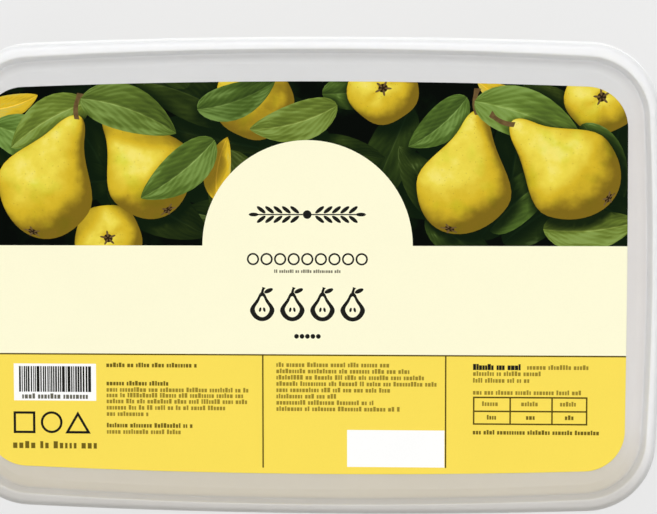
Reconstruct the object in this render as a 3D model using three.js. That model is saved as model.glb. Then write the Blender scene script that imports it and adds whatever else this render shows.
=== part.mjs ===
// Rectangular snap-lid food tub: a thin-walled polypropylene tub, its press-on lid, the printed
// film label on the lid and the fruit puree that fills the tub.
//
// Millimetres, +Z up, X along the length, Y across, origin at the middle of the base.
// Every ring of the tub and the lid is the lid's plan outline moved inwards by an inset, so a
// profile is a list of [inset, z] corners, and an inset of 0 is the edge of the lid's lip.

import * as THREE from 'three';

// ---- Driving dimensions ---------------------------------------------------------------------

const LENGTH = 188.6;            // over the lid's lip, along X
const WIDTH = 127.5;             // over the lid's lip, along Y
const HEIGHT = 64;               // from the base to the top of the lid's rim

const LONG_SIDE_RADIUS = 1900;   // bow of the two long sides at the lip
const INNER_LONG_RADIUS = 1300;  // and inside the rim, where they bow more
const BOW_START = 2.4;           // insets between which the one turns into the other
const BOW_END = 4;
const SHORT_SIDE_RADIUS = 800;   // bow of the two short sides
const CORNER_RADIUS = 19;        // at the lip
const CORNER_SHRINK = 0.75;      // how much the corner radius loses for each mm of inset

const LID_WALL = 0.75;           // thickness of the lid's panel, slope and moat
const LIP_BOTTOM_Z = 55.2;       // lower edge of the skirt
const LIP_HEIGHT = 0.9;
const PANEL_Z = 61.5;            // top of the lid's flat panel
const PANEL_INSET = 7.2;         // edge of the flat panel
const MOAT_Z = 60.9;             // bottom of the groove round the panel
const MOAT_OUTER_INSET = 4.45;
const MOAT_INNER_INSET = 4.75;

const TUB_WALL = 1;
const RIM_TOP_Z = 63.1;          // tub's rim, just under the lid's channel
const BAND_INSET = 2.05;         // outer face of the upright band under the rim
const BAND_THICKNESS = 0.95;
const SHOULDER_INSET = 3.3;      // outer face just below the stacking shoulder
const SHOULDER_Z = 50.6;
const SHOULDER_RISE = 1.3;
const DRAFT_DEG = 5;             // taper of the tub's side walls
const BASE_RADIUS = 4.8;         // outer fillet between wall and base
const FOOT_INNER_INSET = 15.6;   // the tub stands on the ring outside this
const BASE_RECESS = 1.25;        // height of the raised middle of the base
const STEP_RUN = 0.6;            // width of the sloped step up to it

const PUREE_GAP = 0.3;           // clearance between the puree and the tub's side walls
const PUREE_TOP_Z = 50.5;

const LABEL = {
  halfX: 85.2, halfY: 52.05, longRadius: 1950, shortRadius: 5000, cornerRadius: 10.85,
};
const LABEL_THICKNESS = 0.15;
const LABEL_SHIFT = new THREE.Vector2(-0.8, -0.3);

// Segments of the plan outline in one quadrant, and the widest turn of one profile segment.
const SHORT_SIDE_SEGMENTS = 2;
const CORNER_SEGMENTS = 8;
const LONG_SIDE_SEGMENTS = 3;
const PROFILE_STEP_DEG = 30;

// ---- Plan outline ---------------------------------------------------------------------------

function arcPoints(centre, radius, start, end, segments) {
  return Array.from({ length: segments + 1 }, (_, i) => {
    const angle = start + ((end - start) * i) / segments;
    return new THREE.Vector2(Math.cos(angle), Math.sin(angle)).multiplyScalar(radius).add(centre);
  });
}

// Where two circles cross, on the side that lies in the first quadrant.
function crossing(centreA, radiusA, centreB, radiusB) {
  const between = centreB.clone().sub(centreA);
  const distance = between.length();
  const along = (radiusA ** 2 - radiusB ** 2 + distance ** 2) / (2 * distance);
  const aside = Math.sqrt(radiusA ** 2 - along ** 2);
  const unit = between.divideScalar(distance);
  const normal = new THREE.Vector2(unit.y, -unit.x);
  return centreA.clone().addScaledVector(unit, along).addScaledVector(normal, aside);
}

// Counter-clockwise outline of bowed sides joined by corner arcs, all tangent to each other.
function outline({ halfX, halfY, longRadius, shortRadius, cornerRadius }) {
  const longCentre = new THREE.Vector2(0, halfY - longRadius);
  const shortCentre = new THREE.Vector2(halfX - shortRadius, 0);
  const corner = crossing(
    longCentre, longRadius - cornerRadius, shortCentre, shortRadius - cornerRadius);
  const low = corner.clone().sub(shortCentre).angle();
  const high = corner.clone().sub(longCentre).angle();

  const quarter = [
    ...arcPoints(shortCentre, shortRadius, 0, low, SHORT_SIDE_SEGMENTS),
    ...arcPoints(corner, cornerRadius, low, high, CORNER_SEGMENTS).slice(1),
    ...arcPoints(longCentre, longRadius, high, Math.PI / 2, LONG_SIDE_SEGMENTS).slice(1),
  ];
  const back = [...quarter].reverse();
  const turned = (points, x, y) => points.map((p) => new THREE.Vector2(x * p.x, y * p.y));
  return [
    ...quarter,
    ...turned(back, -1, 1).slice(1),
    ...turned(quarter, -1, -1).slice(1),
    ...turned(back, 1, -1).slice(1, -1),
  ];
}

function ring(inset) {
  const bow = THREE.MathUtils.smoothstep(inset, BOW_START, BOW_END);
  return outline({
    halfX: LENGTH / 2 - inset,
    halfY: WIDTH / 2 - inset,
    longRadius: THREE.MathUtils.lerp(LONG_SIDE_RADIUS, INNER_LONG_RADIUS, bow) - inset,
    shortRadius: SHORT_SIDE_RADIUS - inset,
    cornerRadius: CORNER_RADIUS - CORNER_SHRINK * inset,
  });
}

// ---- Profiles and shells --------------------------------------------------------------------

// Each corner is [inset, z] or [inset, z, radius]; a radius rounds the corner with an arc.
function rounded(corners) {
  const at = (i) => new THREE.Vector2(corners[i][0], corners[i][1]);
  return corners.flatMap(([, , radius], i) => {
    if (!radius) return [at(i)];
    const before = at(i - 1).sub(at(i)).normalize();
    const after = at(i + 1).sub(at(i)).normalize();
    const half = Math.acos(before.dot(after)) / 2;
    const start = at(i).addScaledVector(before, radius / Math.tan(half));
    const centre = at(i).addScaledVector(before.clone().add(after).normalize(), radius / Math.sin(half));
    const turn = (Math.PI - 2 * half) * Math.sign(after.cross(before));
    const from = start.sub(centre).angle();
    const steps = Math.ceil(THREE.MathUtils.radToDeg(Math.abs(turn)) / PROFILE_STEP_DEG);
    return arcPoints(centre, radius, from, from + turn, steps);
  });
}

// Rings joined into one closed body. The first ring's cap faces up and the last one's down.
function shell(corners) {
  const profile = rounded(corners);
  const count = ring(0).length;
  const positions = profile.flatMap(({ x, y }) => ring(x).flatMap((p) => [p.x, p.y, y]));
  const topCentre = positions.length / 3;
  const bottomCentre = topCentre + 1;
  positions.push(0, 0, profile[0].y, 0, 0, profile.at(-1).y);

  const faces = [];
  const last = (profile.length - 1) * count;
  for (let j = 0; j < count; j += 1) {
    const next = (j + 1) % count;
    faces.push(topCentre, j, next, bottomCentre, last + next, last + j);
    for (let i = 0; i < last; i += count) {
      faces.push(i + j, i + count + j, i + count + next);
      faces.push(i + j, i + count + next, i + next);
    }
  }
  const geometry = new THREE.BufferGeometry();
  geometry.setAttribute('position', new THREE.Float32BufferAttribute(positions, 3));
  geometry.setIndex(faces);
  geometry.computeVertexNormals();
  return geometry;
}

function plastic(color) {
  return new THREE.MeshStandardMaterial({ color, roughness: 0.42, metalness: 0 });
}

// ---- Lid ------------------------------------------------------------------------------------

// From the middle of the panel outwards, over the rim, round the lip, and back underneath.
function makeLid() {
  const skirt = 0.6;                             // thickness of the skirt
  const channelTop = HEIGHT - 0.65;              // inside of the channel over the tub's rim
  const moatUnder = MOAT_Z - LID_WALL;
  const skirtInside = [0.85 + skirt, 0.9 + skirt];
  const snap = { inset: 1.75, z: 58.6, half: 0.2, rise: 0.6 };
  return new THREE.Mesh(shell([
    [PANEL_INSET, PANEL_Z],
    [MOAT_INNER_INSET, MOAT_Z, 0.4],
    [MOAT_OUTER_INSET, MOAT_Z, 0.3],
    [3.65, HEIGHT, 0.5],                         // inner edge of the rim
    [0.95, HEIGHT, 1.5],                         // outer shoulder
    [0.75, LIP_BOTTOM_Z + LIP_HEIGHT, 0.3],
    [0, LIP_BOTTOM_Z + LIP_HEIGHT, 0.3],
    [0, LIP_BOTTOM_Z, 0.2],
    [skirtInside[0], LIP_BOTTOM_Z],
    [skirtInside[0], snap.z - snap.half - snap.rise],
    [snap.inset, snap.z - snap.half],            // ridge that snaps under the tub's bead
    [snap.inset, snap.z + snap.half],
    [skirtInside[0], snap.z + snap.half + snap.rise],
    [skirtInside[1], channelTop, 0.4],
    [2.75, channelTop],
    [MOAT_OUTER_INSET - LID_WALL, moatUnder],
    [MOAT_INNER_INSET + 0.2, moatUnder],
    [PANEL_INSET + 0.2, PANEL_Z - LID_WALL],
  ]), plastic(0xdedfdb));
}

// ---- Tub ------------------------------------------------------------------------------------

const wallInset = (z) =>
  SHOULDER_INSET + (SHOULDER_Z - z) * Math.tan(THREE.MathUtils.degToRad(DRAFT_DEG));

// From the middle of the inside floor up the wall, over the rim, and down to the base.
function makeTub() {
  const innerShoulderZ = SHOULDER_Z + 0.4;
  const outerBandZ = SHOULDER_Z + SHOULDER_RISE;
  const bandInside = BAND_INSET + BAND_THICKNESS;
  return new THREE.Mesh(shell([
    [FOOT_INNER_INSET, BASE_RECESS + TUB_WALL],
    [FOOT_INNER_INSET - STEP_RUN, TUB_WALL],
    [wallInset(TUB_WALL) + TUB_WALL, TUB_WALL, BASE_RADIUS - TUB_WALL],
    [wallInset(innerShoulderZ) + TUB_WALL, innerShoulderZ, 0.8],
    [bandInside, innerShoulderZ + SHOULDER_RISE, 0.8],
    [2.75, 60.2],                                // rim leans outwards past the lid's plug wall
    [2.3, RIM_TOP_Z - 0.3],
    [2.15, RIM_TOP_Z],
    [1.85, RIM_TOP_Z],
    [1.6, RIM_TOP_Z - 0.6],                      // snap bead
    [1.6, RIM_TOP_Z - 1.8],
    [BAND_INSET - 0.1, RIM_TOP_Z - 2.5],
    [BAND_INSET, outerBandZ, 0.8],
    [SHOULDER_INSET, SHOULDER_Z, 0.8],
    [wallInset(0), 0, BASE_RADIUS],
    [FOOT_INNER_INSET, 0],
    [FOOT_INNER_INSET + STEP_RUN, BASE_RECESS],
  ]), plastic(0xe3e4e0));
}

// ---- Puree ----------------------------------------------------------------------------------

// The filling stands on the inside floor and stops short of the walls and of the lid.
function makePuree() {
  const side = (z) => wallInset(z) + TUB_WALL + PUREE_GAP;
  return new THREE.Mesh(shell([
    [side(PUREE_TOP_Z), PUREE_TOP_Z],
    [side(TUB_WALL), TUB_WALL, BASE_RADIUS - TUB_WALL],
    [FOOT_INNER_INSET - STEP_RUN - PUREE_GAP, TUB_WALL],
    [FOOT_INNER_INSET - PUREE_GAP, BASE_RECESS + TUB_WALL],
  ]), new THREE.MeshStandardMaterial({ color: 0xd9a83c, roughness: 0.35, metalness: 0 }));
}

// ---- Label ----------------------------------------------------------------------------------

function makeLabel() {
  const film = new THREE.ExtrudeGeometry(new THREE.Shape(outline(LABEL)), {
    depth: LABEL_THICKNESS, bevelEnabled: false,
  });
  const print = new THREE.MeshStandardMaterial({ color: 0xf6e59a, roughness: 0.5, metalness: 0 });
  const label = new THREE.Mesh(film, print);
  label.position.set(LABEL_SHIFT.x, LABEL_SHIFT.y, PANEL_Z);
  return label;
}

// ---- Assembly -------------------------------------------------------------------------------

const foodTub = new THREE.Group();
const pieces = { tub: makeTub(), puree: makePuree(), lid: makeLid(), label: makeLabel() };
for (const [name, mesh] of Object.entries(pieces)) {
  mesh.name = name;
  foodTub.add(mesh);
}

export default foodTub;
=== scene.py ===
import math
import random
from types import SimpleNamespace

import bmesh
import bpy
from bpy.props import FloatProperty, FloatVectorProperty, PointerProperty
from mathutils import Euler, Matrix, Vector, geometry, noise


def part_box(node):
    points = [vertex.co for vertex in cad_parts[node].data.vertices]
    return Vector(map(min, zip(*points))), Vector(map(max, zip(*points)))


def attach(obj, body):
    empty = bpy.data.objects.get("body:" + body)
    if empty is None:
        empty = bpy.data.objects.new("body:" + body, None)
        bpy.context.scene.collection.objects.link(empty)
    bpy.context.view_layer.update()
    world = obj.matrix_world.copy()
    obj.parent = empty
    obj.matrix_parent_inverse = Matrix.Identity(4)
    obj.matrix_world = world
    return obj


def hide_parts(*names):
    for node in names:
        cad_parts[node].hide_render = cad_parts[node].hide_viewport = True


bl_info = {
    "name": "Snap-lid food tub",
    "version": (1, 0, 0),
    "blender": (4, 5, 0),
    "location": "View3D > Sidebar > Food tub",
    "description": "Builds a rectangular plastic food tub with its lid, printed label and filling",
    "category": "Add Mesh",
}

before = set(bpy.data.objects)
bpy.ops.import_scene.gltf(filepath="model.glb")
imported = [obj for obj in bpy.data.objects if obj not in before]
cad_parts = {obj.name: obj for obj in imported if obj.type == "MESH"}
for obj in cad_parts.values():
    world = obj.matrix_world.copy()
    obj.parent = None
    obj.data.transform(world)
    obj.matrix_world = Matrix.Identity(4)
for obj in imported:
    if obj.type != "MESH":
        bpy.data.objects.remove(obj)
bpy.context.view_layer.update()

MM = 0.001
TUB_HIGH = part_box("tub")[1]
LID_LOW, LID_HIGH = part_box("lid")
LABEL_LOW, LABEL_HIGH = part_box("label")
PUREE_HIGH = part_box("puree")[1]


# ---- Settings ----


def length(name, description, millimetres):
    return FloatProperty(
        name=name, description=description, default=millimetres * MM, unit="LENGTH", precision=5
    )


def colour(name, description, *rgb):
    return FloatVectorProperty(
        name=name, description=description, default=rgb, subtype="COLOR", size=3, min=0.0, max=1.0
    )


class TubSizes(bpy.types.PropertyGroup):
    """Sizes of the moulded tub and its lid."""

    corner_radius: length("Corner radius", "Plan radius of the corners at the lid's lip", 19)
    long_side_radius: length("Long side bow", "Radius of the long sides at the lip", 1900)
    inner_long_radius: length("Inner bow", "Radius of the long sides inside the rim", 1300)
    short_side_radius: length("Short side bow", "Radius of the short sides", 800)
    lid_wall: length("Lid wall", "Thickness of the lid's panel", 0.75)
    lip_height: length("Lip height", "Height of the lip at the foot of the skirt", 0.9)
    panel_inset: length("Panel inset", "Distance from the lip to the flat panel", 7.2)
    moat_inset: length("Moat inset", "Distance from the lip to the moat's outer side", 4.45)
    moat_width: length("Moat width", "Width of the moat's flat bottom", 0.3)
    tub_wall: length("Tub wall", "Thickness of the tub's sides", 1.0)
    shoulder_inset: length("Shoulder inset", "Outer face of the tub below its shoulder", 3.3)
    shoulder_height: length("Shoulder height", "Height of the stacking shoulder", 50.6)
    shoulder_rise: length("Shoulder rise", "Height of the shoulder's slope", 1.3)
    base_radius: length("Base radius", "Fillet between the sides and the base", 4.8)
    foot_inset: length("Foot inset", "Inner edge of the ring that the tub stands on", 15.6)
    base_recess: length("Base recess", "Height of the raised middle of the base", 1.25)
    draft: FloatProperty(
        name="Draft", description="Taper of the tub's sides", default=math.radians(5),
        subtype="ANGLE",
    )


class LabelSizes(bpy.types.PropertyGroup):
    """Sizes of the label and of the fields printed on it."""

    corner_radius: length("Corner radius", "Plan radius of the label's corners", 10.85)
    long_side_radius: length("Long side bow", "Radius of the label's long sides", 1950)
    short_side_radius: length("Short side bow", "Radius of the label's short sides", 5000)
    band_height: length("Picture band", "Where the picture band ends, from the middle", 8.05)
    rule_height: length("Lower field", "Where the lower field begins, from the middle", -21.0)
    arch_radius: length("Arch", "Radius of the round field that rises into the picture", 27.85)
    rule_width: length("Rules", "Width of the printed rules", 0.40)


class Colours(bpy.types.PropertyGroup):
    """Colours of the plastic, the print and the filling."""

    plastic: colour("Plastic", "Natural white polypropylene", 0.92, 0.92, 0.915)
    beside_filling: colour("Beside filling", "The tub's side beside the filling", 0.84, 0.80, 0.70)
    puree: colour("Puree", "Fruit puree", 0.66, 0.36, 0.05)
    cream: colour("Cream", "Upper field of the label", 0.96, 0.93, 0.67)
    yellow: colour("Yellow", "Lower field of the label", 0.93, 0.72, 0.10)
    white: colour("White", "Film and blank boxes of the label", 0.965, 0.965, 0.955)
    ink: colour("Ink", "Dark print", 0.012, 0.012, 0.010)
    olive_ink: colour("Olive ink", "Rules on the yellow field", 0.095, 0.068, 0.008)
    brown_ink: colour("Brown ink", "Larger print on the yellow field", 0.16, 0.115, 0.012)
    small_ink: colour("Small ink", "Small print on the yellow field", 0.31, 0.225, 0.026)
    grey_ink: colour("Grey ink", "Small print under the bars", 0.13, 0.125, 0.095)
    pale_ink: colour("Pale ink", "Smallest print on the cream field", 0.20, 0.19, 0.13)
    fruit_lit: colour("Fruit in light", "Printed fruit facing the light", 0.84, 0.70, 0.080)
    fruit_mid: colour("Fruit", "Printed fruit in half light", 0.65, 0.45, 0.022)
    fruit_shade: colour("Fruit in shade", "Printed fruit turned away", 0.200, 0.130, 0.009)
    leaf_lit: colour("Leaf in light", "Printed leaf facing the light", 0.134, 0.244, 0.036)
    leaf_shade: colour("Leaf in shade", "Printed leaf turned away", 0.0025, 0.009, 0.002)
    backdrop: colour("Backdrop", "Darkest part of the printed foliage", 0.0005, 0.0015, 0.0005)


def in_millimetres(settings):
    """The lengths among a group of settings, in millimetres."""
    names = settings.__annotations__
    return SimpleNamespace(**{name: getattr(settings, name) / MM for name in names})


# ---- Plan outline ----

CORNER_SHRINK = 0.75  # radius that a corner loses per unit of inset
BOW_START = 2.4 * MM  # insets between which the long sides' bow changes
BOW_END = 4.0 * MM
SHORT_SIDE_STEPS = 8
CORNER_STEPS = 18
LONG_SIDE_STEPS = 12


def toward(angle):
    return Vector((math.cos(angle), math.sin(angle)))


def angle_of(vector):
    return math.atan2(vector.y, vector.x)


def arc(centre, radius, start, end, steps):
    angles = [start + (end - start) * i / steps for i in range(steps + 1)]
    return [centre + radius * toward(angle) for angle in angles]


def crossing(centre_a, radius_a, centre_b, radius_b):
    """Where two circles cross, on the side that lies in the first quadrant."""
    between = centre_b - centre_a
    distance = between.length
    along = (radius_a**2 - radius_b**2 + distance**2) / (2 * distance)
    aside = math.sqrt(radius_a**2 - along**2)
    unit = between / distance
    return centre_a + along * unit + aside * Vector((unit.y, -unit.x))


def outline(half_x, half_y, long_radius, short_radius, corner_radius):
    """Counter-clockwise outline of bowed sides joined by corner arcs, all tangent."""
    long_centre = Vector((0, half_y - long_radius))
    short_centre = Vector((half_x - short_radius, 0))
    corner = crossing(
        long_centre, long_radius - corner_radius, short_centre, short_radius - corner_radius
    )
    low = angle_of(corner - short_centre)
    high = angle_of(corner - long_centre)
    quarter = [
        *arc(short_centre, short_radius, 0, low, SHORT_SIDE_STEPS),
        *arc(corner, corner_radius, low, high, CORNER_STEPS)[1:],
        *arc(long_centre, long_radius, high, math.pi / 2, LONG_SIDE_STEPS)[1:],
    ]
    half = quarter + [Vector((-p.x, p.y)) for p in quarter[-2::-1]]
    return half + [-p for p in half[1:-1]]


def clamped(value, low=0.0, high=1.0):
    return min(max(value, low), high)


def smoothstep(low, high, value):
    t = clamped((value - low) / (high - low))
    return t * t * (3 - 2 * t)


def ring(inset):
    """The lid's outline moved inwards by inset."""
    sizes = bpy.context.scene.tub_sizes
    bow = smoothstep(BOW_START, BOW_END, inset)
    long_radius = sizes.long_side_radius + bow * (sizes.inner_long_radius - sizes.long_side_radius)
    return outline(
        LID_HIGH.x - inset,
        LID_HIGH.y - inset,
        long_radius - inset,
        sizes.short_side_radius - inset,
        sizes.corner_radius - CORNER_SHRINK * inset,
    )


def circle(radius):
    """A round ring whose points lie in the same directions as those of the outline."""
    return [radius * p.normalized() for p in ring(0)]


# ---- Profiles and shells ----

PROFILE_STEP = math.radians(11)
SHARP_TURN = math.radians(32)


def rounded(corners):
    """Corners (inset, z) or (inset, z, radius), with an arc where there is a radius."""
    points = []
    for i, (inset, z, *radius) in enumerate(corners):
        here = Vector((inset, z))
        if not radius:
            points.append(here)
            continue
        before = (Vector(corners[i - 1][:2]) - here).normalized()
        after = (Vector(corners[i + 1][:2]) - here).normalized()
        half = before.angle(after) / 2
        start = here + before * radius[0] / math.tan(half)
        centre = here + (before + after).normalized() * radius[0] / math.sin(half)
        side = 1 if after.cross(before) > 0 else -1
        turn = side * (math.pi - 2 * half)
        begin = angle_of(start - centre)
        steps = max(2, math.ceil(abs(turn) / PROFILE_STEP))
        points += arc(centre, radius[0], begin, begin + turn, steps)
    return points


def inset_rings(corners):
    """Profile corners in millimetres, as rings in metres."""
    scaled = [[value * MM for value in corner] for corner in corners]
    return [(ring(p.x), p.y) for p in rounded(scaled)]


def extruded(bm, edges):
    """Extrudes a loop of edges in place, and returns the new loop's vertices and edges."""
    grown = bmesh.ops.extrude_edge_only(bm, edges=edges)["geom"]
    fresh = {v for v in grown if isinstance(v, bmesh.types.BMVert)}
    return fresh, [
        e for e in grown if isinstance(e, bmesh.types.BMEdge) and fresh.issuperset(e.verts)
    ]


def shell(name, rings):
    """A closed body from rings (points, z): a face inside the first, the rest extruded on.

    Its vertices keep how far they lie inside the lip, as the attribute "inset".
    """
    bm = bmesh.new()
    place = bm.verts.layers.int.new("ring_place")
    inset = bm.verts.layers.float.new("inset")
    points, z = rings[0]
    verts = [bm.verts.new((*p, z)) for p in points]
    for i, vert in enumerate(verts):
        vert[place] = i
        vert[inset] = LID_HIGH.x - points[0].x
    edges = list(bm.faces.new(verts).edges)
    for points, z in rings[1:]:
        fresh, edges = extruded(bm, edges)
        for vert in fresh:
            vert.co = (*points[vert[place]], z)
            vert[inset] = LID_HIGH.x - points[0].x
    bmesh.ops.contextual_create(bm, geom=edges)
    bmesh.ops.recalc_face_normals(bm, faces=bm.faces)
    return finished(bm, name)


def placed(name, data):
    """A new object of the scene that holds the data."""
    made = bpy.data.objects.new(name, data)
    bpy.context.scene.collection.objects.link(made)
    return made


def put_in_order(parts):
    """Sorts edges or faces by their vertices, as an extrusion lists them anew on each run."""
    listed = sorted(parts, key=lambda part: sorted(vert.index for vert in part.verts))
    places = {part: i for i, part in enumerate(listed)}
    parts.sort(key=places.get)


def finished(bm, name):
    """Turns the bmesh into an object at the origin, smooth but for its sharp turns."""
    bm.verts.index_update()
    put_in_order(bm.edges)
    put_in_order(bm.faces)
    for face in bm.faces:
        face.smooth = True
    for edge in bm.edges:
        if len(edge.link_faces) == 2 and edge.calc_face_angle(0) > SHARP_TURN:
            edge.smooth = False
    mesh = bpy.data.meshes.new(name)
    bm.to_mesh(mesh)
    bm.free()
    return placed(name, mesh)


# ---- Shader graphs ----


class Field:
    """A number, vector or colour that varies over a surface: an output of one of its nodes."""

    def __init__(self, graph, socket):
        self.graph = graph
        self.socket = socket

    def __add__(self, other):
        return self.graph.math("ADD", self, other)

    def __sub__(self, other):
        return self.graph.math("SUBTRACT", self, other)

    def __rsub__(self, other):
        return self.graph.math("SUBTRACT", other, self)

    def __mul__(self, other):
        return self.graph.math("MULTIPLY", self, other)

    def __truediv__(self, other):
        return self.graph.math("DIVIDE", self, other)


class Graph:
    """Short ways to add and join nodes."""

    def __init__(self, tree):
        self.tree = tree

    def node(self, kind, inputs=None, **settings):
        made = self.tree.nodes.new(kind)
        for key, value in settings.items():
            setattr(made, key, value)
        self.feed(made.inputs, inputs or {})
        return made

    def field(self, kind, inputs=None, output=0, **settings):
        return Field(self, self.node(kind, inputs, **settings).outputs[output])

    def feed(self, sockets, values):
        for key, value in values.items():
            socket = sockets[key]
            if isinstance(value, Field):
                self.tree.links.new(value.socket, socket)
            elif hasattr(value, "__len__") and len(value) == 3 and socket.type == "RGBA":
                socket.default_value = (*value, 1.0)
            else:
                socket.default_value = value

    def math(self, operation, first, second=0.0, clamp=False):
        inputs = {0: first, 1: second}
        return self.field("ShaderNodeMath", inputs, operation=operation, use_clamp=clamp)

    def mix(self, factor, first, second, blend="MIX"):
        inputs = {"Factor": factor, 6: first, 7: second}
        return self.field("ShaderNodeMix", inputs, 2, data_type="RGBA", blend_type=blend)

    def stained(self, first, second):
        return self.mix(1.0, first, second, "MULTIPLY")

    def span(self, value, low, high):
        """From 0 at low to 1 at high, eased at both ends."""
        inputs = {"Value": value, "From Min": low, "From Max": high}
        return self.field("ShaderNodeMapRange", inputs, interpolation_type="SMOOTHSTEP")

    def noise(self, vector, scale, detail=3.0, roughness=0.5):
        """Soft noise round 0.5."""
        inputs = {"Vector": vector, "Scale": scale, "Detail": detail, "Roughness": roughness}
        return self.field("ShaderNodeTexNoise", inputs)

    def place(self):
        return self.field("ShaderNodeTexCoord", output="Object")

    def uv(self, name):
        return self.field("ShaderNodeUVMap", uv_map=name)

    def attribute(self, name):
        return self.field("ShaderNodeAttribute", output="Fac", attribute_name=name)

    def split(self, vector):
        made = self.node("ShaderNodeSeparateXYZ", {"Vector": vector})
        return [Field(self, socket) for socket in made.outputs]

    def group(self, name, **inputs):
        made = self.node("ShaderNodeGroup", inputs, node_tree=bpy.data.node_groups[name])
        return [Field(self, socket) for socket in made.outputs]


class Group(Graph):
    """A node group that materials share, with named inputs and outputs."""

    KINDS = {"Vector": "NodeSocketVector", "Slope": "NodeSocketVector", "Color": "NodeSocketColor"}

    def __init__(self, name, inputs, outputs):
        super().__init__(bpy.data.node_groups.new(name, "ShaderNodeTree"))
        for in_out, labels in (("INPUT", inputs), ("OUTPUT", outputs)):
            for label in labels:
                kind = self.KINDS.get(label, "NodeSocketFloat")
                self.tree.interface.new_socket(label, in_out=in_out, socket_type=kind)
        entry = self.node("NodeGroupInput")
        self.given = [Field(self, entry.outputs[label]) for label in inputs]
        self.out = self.node("NodeGroupOutput").inputs


class Surface(Graph):
    """A material with one Principled shader, whose constants are set on its own sockets."""

    def __init__(self, name, constants):
        self.material = bpy.data.materials.new(name)
        self.material.use_nodes = True
        super().__init__(self.material.node_tree)
        self.shader = self.tree.nodes["Principled BSDF"].inputs
        self.feed(self.shader, constants)

    def covered(self, tint, roughness, height, strength, depth):
        """The material, with its colour, its roughness and bumps of that depth."""
        inputs = {"Height": height, "Strength": strength, "Distance": depth}
        bump = self.field("ShaderNodeBump", inputs)
        self.feed(self.shader, {"Base Color": tint, "Roughness": roughness, "Normal": bump})
        return self.material


PRINT_LIGHT = Vector((-0.36, 0.46, 0.81))  # where the light of the printed fruit comes from


def make_moulded_group():
    """Flow marks, fine scuffs and the slight waviness of moulded plastic."""
    graph = Group(
        "Moulded plastic", ("Vector", "Scuffs", "Waves"), ("Shade", "Roughness", "Height")
    )
    at, scuffs, waves = graph.given
    flow = graph.noise(at, 70.0, 4.0, 0.6)
    grain = graph.noise(at, 2600.0, 2.0)
    stretch = {"Vector": at, "Rotation": (0.0, 0.0, 0.6), "Scale": (1.0, 14.0, 1.0)}
    hairs = graph.noise(graph.field("ShaderNodeMapping", stretch), 120.0, 5.0, 0.7)
    patches = graph.span(graph.noise(at, 45.0, 2.0), 0.45, 0.65)
    scuff = graph.span(hairs, 0.60, 0.72) * patches * scuffs
    graph.feed(graph.out, {
        "Shade": flow * 0.05 + 0.975 - scuff * 0.04,
        "Roughness": flow * 0.12 + 0.28 + scuff * 0.25,
        "Height": graph.noise(at, 28.0, 2.0) * waves + grain * 0.012 - scuff * 0.03,
    })


def make_print_group():
    """Fine speckle of ink on film, with a very slight unevenness over its width."""
    graph = Group("Printed ink", ("Vector", "Color", "Speckle"), ("Color", "Roughness", "Height"))
    at, tint, speckle = graph.given
    dots = graph.noise(at, 5200.0, 1.0) - 0.5
    cloud = graph.noise(at, 60.0, 3.0) - 0.5
    graph.feed(graph.out, {
        "Color": graph.stained(tint, dots * speckle + 1.0 + cloud * 0.03),
        "Roughness": cloud * 0.10 + 0.46,
        "Height": graph.noise(at, 900.0, 2.0) + dots,
    })


def make_lighting_group():
    """Light and shade of a printed form, from the slope of its surface at each point."""
    graph = Group("Printed light", ("Slope", "Lumps"), ("Light", "Gleam"))
    slope, lumps = graph.given
    x, y, _ = graph.split(slope)
    up = graph.math("SQRT", graph.math("SUBTRACT", 1.0, x * x + y * y, clamp=True))
    light = x * PRINT_LIGHT.x + y * PRINT_LIGHT.y + up * PRINT_LIGHT.z + lumps
    graph.feed(graph.out, {"Light": light, "Gleam": graph.span(light, 0.90, 1.06)})


# ---- Materials ----


def make_plastic(name, scuffs, waves, tint_of):
    """Milky plastic, whose colour is tint_of(graph)."""
    graph = Surface(name, {
        "IOR": 1.49, "Subsurface Weight": 0.5, "Subsurface Radius": (1.0, 0.97, 0.9),
        "Subsurface Scale": 1.5 * MM,
    })
    shade, roughness, height = graph.group(
        "Moulded plastic", Vector=graph.place(), Scuffs=scuffs, Waves=waves
    )
    return graph.covered(graph.stained(tint_of(graph), shade), roughness, height, 0.35, 0.6 * MM)


def make_print(name, colour_of, speckle=0.06):
    """A printed area, whose colour before the speckle is colour_of(graph, place)."""
    graph = Surface(name, {"IOR": 1.45, "Specular IOR Level": 0.03})
    at = graph.place()
    tint, roughness, height = graph.group(
        "Printed ink", Vector=at, Color=colour_of(graph, at), Speckle=speckle
    )
    return graph.covered(tint, roughness, height, 0.08, 0.1 * MM)


GREENER = (0.62, 0.95, 0.35)
PORE = (0.30, 0.15, 0.02)
RUSSET = (0.30, 0.16, 0.02)
GLEAM = (1.0, 0.93, 0.45)
LEAF_HUE = (1.35, 1.02, 0.9)
LEAF_GLOSS = (0.42, 0.58, 0.22)
LEAF_VEIN = (1.9, 1.7, 2.2)
DARK_STALK = (0.05, 0.025, 0.01)
PALE_STALK = (0.22, 0.14, 0.05)
HOLLOW = (0.022, 0.012, 0.004)
SIDE_VEINS = 8.0  # pairs of side veins to a leaf


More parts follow.
